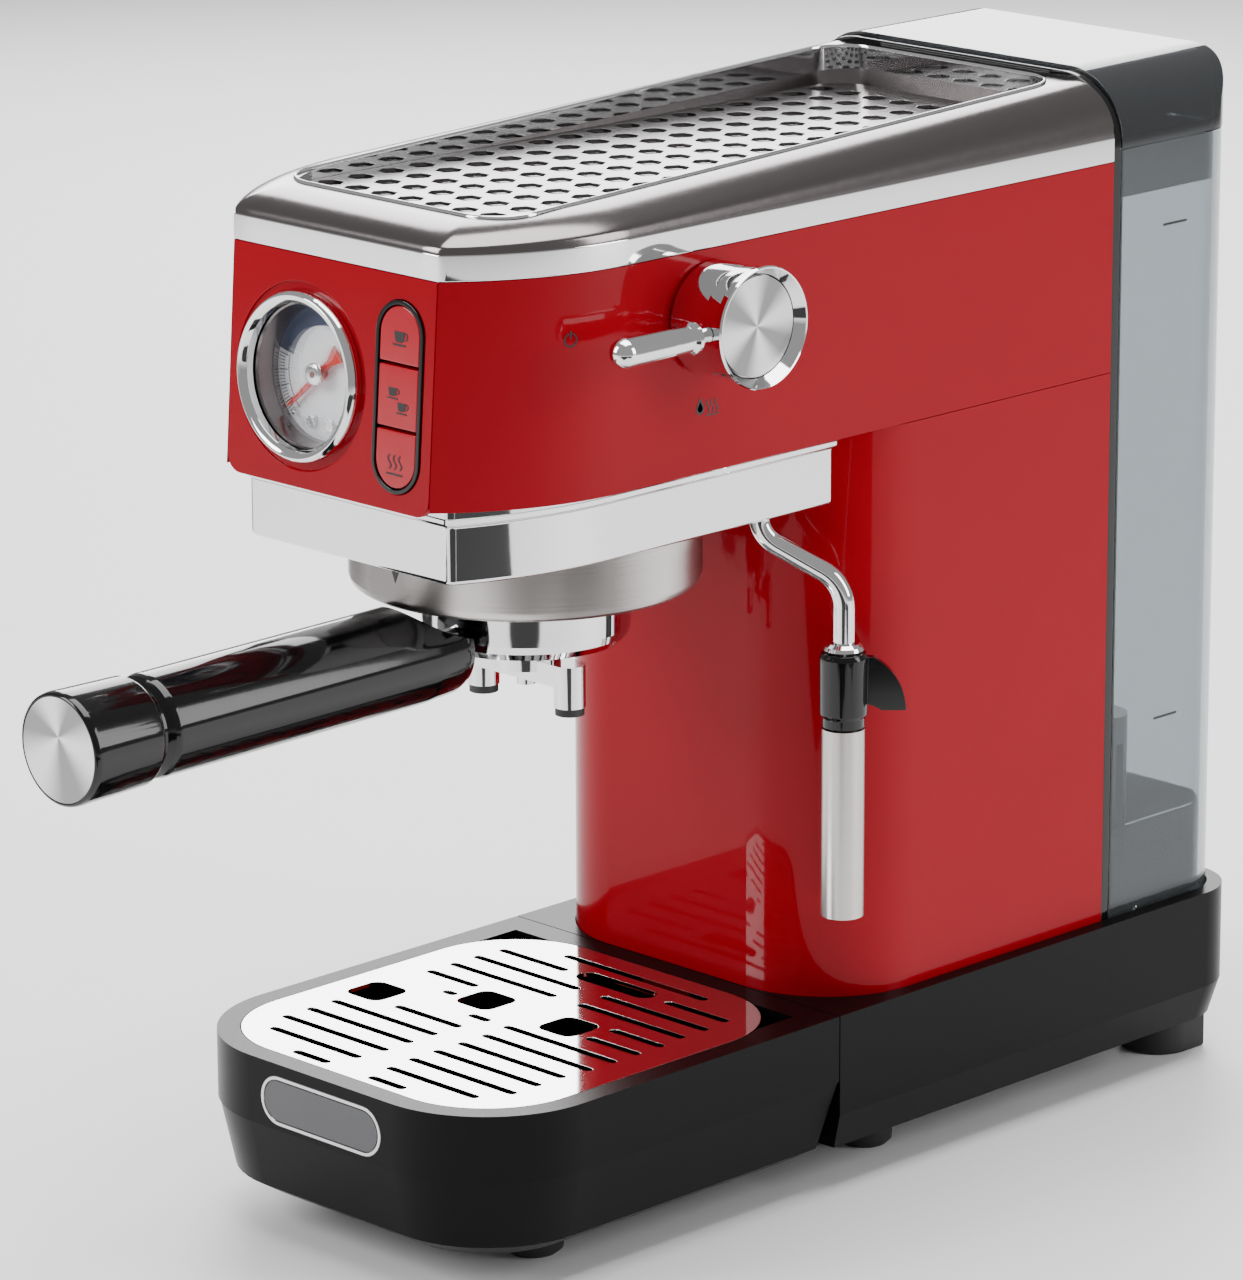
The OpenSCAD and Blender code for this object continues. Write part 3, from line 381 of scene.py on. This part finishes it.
def loft(rings, closed=False):
    """A skin through rings of equal length, capped at both ends unless it closes on itself."""
    n = len(rings[0])
    verts = [p for ring in rings for p in ring]
    faces = []
    for k in range(len(rings) if closed else len(rings) - 1):
        a, b = k * n, (k + 1) % len(rings) * n
        faces += [[a + i, a + (i + 1) % n, b + (i + 1) % n, b + i] for i in range(n)]
    if not closed:
        faces += [list(range(n))[::-1], list(range(len(verts) - n, len(verts)))]
    return verts, faces


# ---------------------------------------------------------------- the parts of the machine
OWN = ("top_rim", "chrome_collar")
for node, (material, width) in LOOKS.items():
    if width and node not in OWN:
        softened(node, width)
    elif node not in OWN:
        cad = frame["nodes"][node]
        cad.data.materials.clear()
        cad.data.materials.append(material)

# top rim: a bright band, a dark rounded slope that climbs to the rear, and a bright liner
BAND_Z, RISE, CLIMB, SLOPE_IN = 281.0, 5.7, 0.038, 16.0


def slope_ring(turn):
    t = math.radians(turn)
    return at(head(SLOPE_IN * (1 - math.cos(t))),
              lambda y: BAND_Z + (RISE + CLIMB * y) * math.sin(t))


def rim_top(extra):
    return lambda y: BAND_Z + RISE + CLIMB * y + extra


WELL = (42.5, 19.0, 236.0, 12.0)


def well_ring(out, extra):
    return at(well(WELL[0] + out, WELL[1] - out, WELL[2] + out, WELL[3] + out), rim_top(extra))


band_part = loft([at(head(0.5), 274.15), at(head(0.15), 274.2), at(head(0), 274.5),
                  at(head(0), BAND_Z - 0.3), at(head(0.15), BAND_Z), at(head(1.2), BAND_Z + 0.2),
                  at(head(1.5), BAND_Z - 0.2), at(head(1.5), 274.15)], closed=True)
piece("rim_band", *band_part, "machine", CHROME, "chrome", sharp=50)
slope = [at(head(0.35), BAND_Z + 0.05)] + [slope_ring(a) for a in range(14, 91, 7)]
slope += [well_ring(1.0, -0.05), well_ring(0.8, -0.4), well_ring(0.8, -2.6),
          at(well(41, 22, 234, 10), BAND_Z + 0.05)]
piece("rim_slope", *loft(slope, closed=True), "machine", DARK, "dark_steel",
                  replaces=["top_rim"], sharp=50)
liner = [well_ring(1.0, -0.3), well_ring(1.0, 0.25), well_ring(0.7, 0.6), well_ring(0.3, 0.65),
         well_ring(0.05, 0.35), well_ring(0.0, -0.3), at(well(*WELL), 285.0), at(well(*WELL), 283.9),
         at(well(43.4, 18.1, 236.9, 12.9), 283.9)]
piece("rim_liner", *loft(liner, closed=True), "machine", CHROME, "chrome", sharp=50)

# heat plate that shows through the holes of the cup plate
piece("heat_plate", *loft([at(well(41.5, 20, 235, 11), 282.2), at(well(41.8, 19.7, 235.3, 11.3), 282.4),
                           at(well(41.8, 19.7, 235.3, 11.3), 282.9), at(well(41.5, 20, 235, 11), 283.0)]),
      "machine", PLATE, "steel", sharp=60)

# bright collar under the head, with a stepped upper edge
COLUMN_Y, COLUMN_R, BEND = 126.0, 32.2, 111.0


def collar(inset, front):
    r = BEND - inset
    side = HALF - inset
    turn = math.degrees(math.asin((SHOULDER_Y - front) / r))
    curve = arc(HALF - BEND, SHOULDER_Y, r, -turn, 0, CORNER_STEPS)
    centre = HALF - 32.0
    end = math.degrees(math.acos((side - centre) / COLUMN_R))
    back = arc(centre, COLUMN_Y + 32, COLUMN_R, -end, -90, CORNER_STEPS // 2)
    begin, corner, stop = Vector((curve[0][0] - 1.8, front)), Vector(curve[0]), Vector(curve[1])
    nose = [tuple(begin.lerp(corner, t / 5).lerp(corner.lerp(stop, t / 5), t / 5)) for t in range(5)]
    half = spread((0, front), nose[0], FRONT_STEPS) + nose + curve[1:-1]
    half += spread(curve[-1], back[0], SIDE_STEPS) + back[:-1]
    half += spread(back[-1], (0, back[-1][1]), FRONT_STEPS) + [(0, back[-1][1])]
    return whole(half)


COLLAR_IN = 5.9        # how much farther in the collar's sides are than its front
steps = [(4.5, 193.0), (4.0, 193.1), (3.5, 193.6), (3.4, 194.2), (3.4, 208.2), (3.3, 208.7), (2.5, 209.3),
         (2.3, 209.8), (2.3, 210.6), (2.1, 211.0), (1.8, 211.3), (1.8, 213.5), (2.1, 213.8)]
piece("collar", *loft([at(collar(COLLAR_IN + d, d), z) for d, z in steps]), "machine", CHROME, "chrome",
      replaces=["chrome_collar"], sharp=40)
# painted shade: thin black strips in the collar's step and at its seam under the head stand in for the
# shadow lines there
for name, material, slot, line in (
        ("collar_step_shade", BLACK, "black_gloss",
         [(3.7, 208.55), (3.25, 208.65), (3.25, 209.25), (3.7, 209.35)]),
        ("collar_seam_shade", MATTE, "black_matte",
         [(4.0, 213.7), (2.3, 213.75), (2.3, 214.1), (4.0, 214.15)])):
    piece(name, *loft([at(collar(COLLAR_IN + d, d), z) for d, z in line]), "machine", material, slot,
          sharp=40)


# ---------------------------------------------------------------- gauge, seen from the front
def flat(name, shapes, z0, z1, body, material, slot, place, bevel=0):
    return piece(name, *several(*[prism(o, z0, z1) for o in shapes]), body, material, slot,
                 place=place, bevel=bevel)


def spot(x, y, r, n=32):
    return arc(x, y, r, 0, 360, n)[:-1]


DIAL_Z, DIAL_R, TICK_R = -8.5, 18.2, 17.6
TICKS, TICK_START, TICK_STEP, LONG_EVERY = 20, 170, 3, 5
flat("dial_band", [band(0, 0, 12.6, DIAL_R, 62, 166)], DIAL_Z, DIAL_Z + 0.12, "machine", BLUE,
     "black_gloss", GAUGE)
ticks = []
for i in range(TICKS):
    a = math.radians(TICK_START + i * TICK_STEP)
    near, width = (15.6, 0.2) if i % LONG_EVERY else (14.4, 0.34)
    ticks.append(bar(near * math.cos(a), near * math.sin(a),
                     TICK_R * math.cos(a), TICK_R * math.sin(a), width))
ticks.append(band(0, 0, 13.7, 13.95, 168, 230, 48))
flat("dial_ticks", ticks, DIAL_Z, DIAL_Z + 0.14, "machine", BLUE, "black_matte", GAUGE)
flat("dial_red_mark", [bar(15.2, -6.4, 17.4, -7.4, 1.3)], DIAL_Z, DIAL_Z + 0.16, "machine",
     NEEDLE, "needle_red", GAUGE)
flat("dial_screws", [spot(-3.6, -13.4, 1.7), spot(3.6, -13.4, 1.7)], DIAL_Z, DIAL_Z + 1.2, "machine",
     CHROME, "chrome", GAUGE, bevel=0.35)
flat("dial_stop", [spot(-9.8, -12.0, 0.55)], DIAL_Z, DIAL_Z + 1.6, "machine", CHROME, "chrome", GAUGE,
     bevel=0.15)


def lathe(profile, n=64):
    """Turned about the local Z axis; the profile is (radius, height) and closes on itself."""
    rings = [[(r * math.cos(2 * math.pi * i / n), r * math.sin(2 * math.pi * i / n), z)
              for i in range(n)] for r, z in profile]
    return loft(rings, closed=True)


piece("needle_hub", *lathe([(0.9, -4.9), (2.9, -4.9), (3.1, -4.6), (2.9, -4.3), (2.2, -4.1), (0.9, -4.1)]),
      "needle", CHROME, "chrome", place=GAUGE, sharp=50)
piece("gauge_lip", *lathe([(17.9, -8.3), (20.0, -8.3), (20.0, -2.4), (19.4, -1.6), (18.9, -2.0),
                           (18.6, -3.6), (17.9, -7.6)], 96),
      "machine", DARK, "chrome", place=GAUGE, sharp=40)


TRAY_FRONT, BADGE_Z, BADGE_HALF = -10.0, 41.5, 16.75     # the half length is between the round ends
BADGE_PLACE = Matrix.Translation((0, TRAY_FRONT, BADGE_Z)) @ FRONT


def badge_ring(r, z):
    outline = arc(BADGE_HALF, 0, r, -90, 90, 16) + arc(-BADGE_HALF, 0, r, 90, 270, 16)
    return at(outline, z)


piece("badge_rim", *loft([badge_ring(7.0, -0.1), badge_ring(6.9, 0.08), badge_ring(6.1, 0.08),
                          badge_ring(6.0, -0.1)], closed=True),
      "tray", BADGE, "badge_metal", place=BADGE_PLACE, sharp=40)


# ---------------------------------------------------------------- plain marks
def cup_mark(x, y, k):
    shapes = [[(x - 2.0 * k, y + 1.2 * k), (x - 1.6 * k, y - 1.2 * k), (x - 1.0 * k, y - 1.6 * k),
               (x + 1.0 * k, y - 1.6 * k), (x + 1.6 * k, y - 1.2 * k), (x + 2.0 * k, y + 1.2 * k)],
              band(x + 2.0 * k, y, 0.7 * k, 1.15 * k, -80, 80, 12),
              bar(x - 2.4 * k, y - 2.3 * k, x + 2.4 * k, y - 2.3 * k, 0.5 * k)]
    return shapes


def wisp(x, y, k):
    left = [(x + 0.5 * k * math.sin(i / 10 * 6.28) - 0.22 * k, y + i / 10 * 3.2 * k) for i in range(11)]
    return left + [(p + 0.44 * k, q) for p, q in reversed(left)]


KEY = 17.0            # from one button to the next
for body, row, shapes in (
        ("one_cup_button", 1, cup_mark(0, -1, 1.0)),
        ("two_cups_button", 0, cup_mark(-1.8, 1.4, 0.8) + cup_mark(1.8, -2.2, 0.8)),
        ("steam_button", -1, [wisp(-2, -2, 1.2), wisp(0, -2, 1.2), wisp(2, -2, 1.2),
                             bar(-3, -3.2, 3, -3.2, 0.5)])):
    flat("mark_" + body, [[(x, y + row * KEY) for x, y in o] for o in shapes], 0.0, 0.1, body, INK,
         "black_matte", BUTTON)


def side_x(y, z):
    """The head's right side at a height z, with the lean of its front."""
    y += (SEAM - z) * math.tan(LEAN)
    if y >= SHOULDER_Y:
        return HALF
    return HALF - SHOULDER_R + math.sqrt(SHOULDER_R ** 2 - (SHOULDER_Y - y) ** 2)


def on_side(name, shapes, y0, z0, material):
    def raised(outline, d):
        return [(side_x(y0 + u, z0 + v) + d, y0 + u, z0 + v) for u, v in outline]

    parts = [slab(raised(o, -0.05), raised(o, 0.08)) for o in shapes]
    piece(name, *several(*parts), "machine", material, "black_matte")


on_side("mark_off", [band(0, 0, 1.5, 1.95, 110, 430, 32), bar(0, 0.2, 0, 2.4, 0.5)], 30, 257, INK)
drop = [(0, 2.6)] + arc(0, -0.5, 1.5, 20, -200, 20)
drop_in = [(x * 0.62, -0.4 + (y + 0.4) * 0.62) for x, y in drop]
on_side("mark_steam", [drop + [drop[0]] + [drop_in[0]] + list(reversed(drop_in))]
        + [[(u + 4.6, v) for u, v in wisp(k, -2, 1.1)] for k in (-1.6, 0, 1.6)]
        + [bar(2.2, -2.6, 7.0, -2.6, 0.4)], 75, 232, INK)
RING_R, GROUP_Y = 48.06, 68.0


def on_ring(points):
    def bent(r):
        return [(r * math.sin(u / RING_R), GROUP_Y - r * math.cos(u / RING_R), v) for u, v in points]

    return slab(bent(RING_R - 0.1), bent(RING_R + 0.05))


piece("mark_ring", *several(on_ring([(-1.9, 188.2), (0, 183.6), (1.9, 188.2)]),
                            on_ring([(-1.7, 190.4), (-1.7, 189.7), (1.7, 189.7), (1.7, 190.4)])),
      "machine", INK, "black_matte")
TANK_X = 59.0


def tank_outline(inset, y0=243.6, y1=297.0, r=16.0, x=TANK_X):
    side = x - inset
    corner = arc(side - (r - inset), y1 - r, r - inset, 0, 90, 12)
    half = spread((0, y0 + inset), (side, y0 + inset), 4) + spread((side, y0 + inset), corner[0], 4)
    half += corner + [(0, y1 - inset)]
    return whole(half)


foot = [at(tank_outline(2.25), 52.3), at(tank_outline(2.25), 77.0), at(tank_outline(2.6), 77.6),
        at(tank_outline(3.6), 77.6), at(tank_outline(3.9), 77.0), at(tank_outline(3.9), 52.3)]
piece("tank_foot_lining", *loft(foot, closed=True), "tank", SMOKE_LID, "smoke", sharp=40)
top = [at(tank_outline(2.25), 263.0), at(tank_outline(2.25), 276.6), at(tank_outline(3.4), 276.6),
       at(tank_outline(3.4), 263.6), at(tank_outline(3.0), 263.0)]
piece("tank_top_lining", *loft(top, closed=True), "tank", SMOKE_LID, "smoke", sharp=40)
for name, z in (("mark_full", 253.0), ("mark_low", 108.0)):
    v, f = several(prism([(y, z + d) for y, d in ((262, -0.35), (272, -0.35), (272, 0.35), (262, 0.35))],
                         TANK_X - 0.02, TANK_X + 0.12))
    piece(name, v, f, "tank", INK, "black_matte", place=RIGHT)

# ---------------------------------------------------------------- stage, light and camera
floor_bm = bmesh.new()
bmesh.ops.create_grid(floor_bm, x_segments=2, y_segments=2, size=4)
FLOOR = surface("floor", (0.95, 0.95, 0.95), 0.6, grain=20, depth=0.0, tint=0.01)
FLAG = surface("flag", (0.012, 0.012, 0.012), 0.9, grain=50, depth=0.02)
finish_mesh(floor_bm, "floor", FLOOR)


def card(name, place, target, width, height):
    """A black card on the floor, outside the front view, for the dark reflections."""
    bm = bmesh.new()
    bmesh.ops.create_grid(bm, x_segments=1, y_segments=1, size=0.5)
    o = finish_mesh(bm, name, FLAG)
    o.location = place
    o.scale = (width, height, 1)
    o.rotation_euler = (Vector(target) - Vector(place)).to_track_quat("Z", "Y").to_euler()


CARD_Z = 0.01
for name, x, y, width, height in (("card_front", 0.56, -0.62, 0.6, 0.62),
                                  ("card_corner", 0.78, -0.13, 0.36, 0.3),
                                  ("card_left", -0.74, 0.02, 0.34, 0.4)):
    card(name, (x, y, CARD_Z), (x, y, 1), width, height)


def soft_light(name, place, target, size, power, size_y=None):
    data = bpy.data.lights.new(name, "AREA")
    data.energy = power
    data.shape = "RECTANGLE"
    data.size = size
    data.size_y = size_y or size
    o = bpy.data.objects.new(name, data)
    bpy.context.scene.collection.objects.link(o)
    o.location = place
    o.rotation_euler = (Vector(target) - Vector(place)).to_track_quat("-Z", "Y").to_euler()


soft_light("key", (-0.9, -1.5, 1.1), (0, -0.05, 0.2), 0.7, 28, 1.2)
soft_light("side", (1.6, 0.9, 0.8), (0, 0.1, 0.15), 0.7, 18, 1.2)
soft_light("top", (0.0, 0.2, 1.7), (0, 0, 0.25), 1.3, 38)
soft_light("rear", (-1.2, 1.2, 0.9), (0, 0.1, 0.2), 1.0, 26)

world = bpy.data.worlds.new("studio")
bpy.context.scene.world = world
world.use_nodes = True
world.node_tree.nodes["Background"].inputs["Color"].default_value = (0.9, 0.9, 0.9, 1)
world.node_tree.nodes["Background"].inputs["Strength"].default_value = 0.42

EYE = TO_ROW @ Vector((1189.75, -1078.92, 616))
AZIMUTH, DROP, ROLL = math.radians(45.08), math.radians(15.4), math.radians(-0.19)
look = Vector((-math.sin(AZIMUTH) * math.cos(DROP), math.cos(AZIMUTH) * math.cos(DROP),
               -math.sin(DROP)))
camera_data = bpy.data.cameras.new("camera")
camera_data.sensor_fit = "VERTICAL"
camera_data.sensor_height = 36
camera_data.lens = 177.6
camera_data.shift_x = -0.0059
camera_data.shift_y = -0.0070
camera_data.clip_start = 0.05
camera_data.clip_end = 30
camera = bpy.data.objects.new("camera", camera_data)
bpy.context.scene.collection.objects.link(camera)
camera.matrix_world = (Matrix.Translation(EYE) @ look.to_track_quat("-Z", "Y").to_matrix().to_4x4()
                       @ Matrix.Rotation(ROLL, 4, "Z"))
bpy.context.scene.camera = camera

bpy.context.view_layer.update()
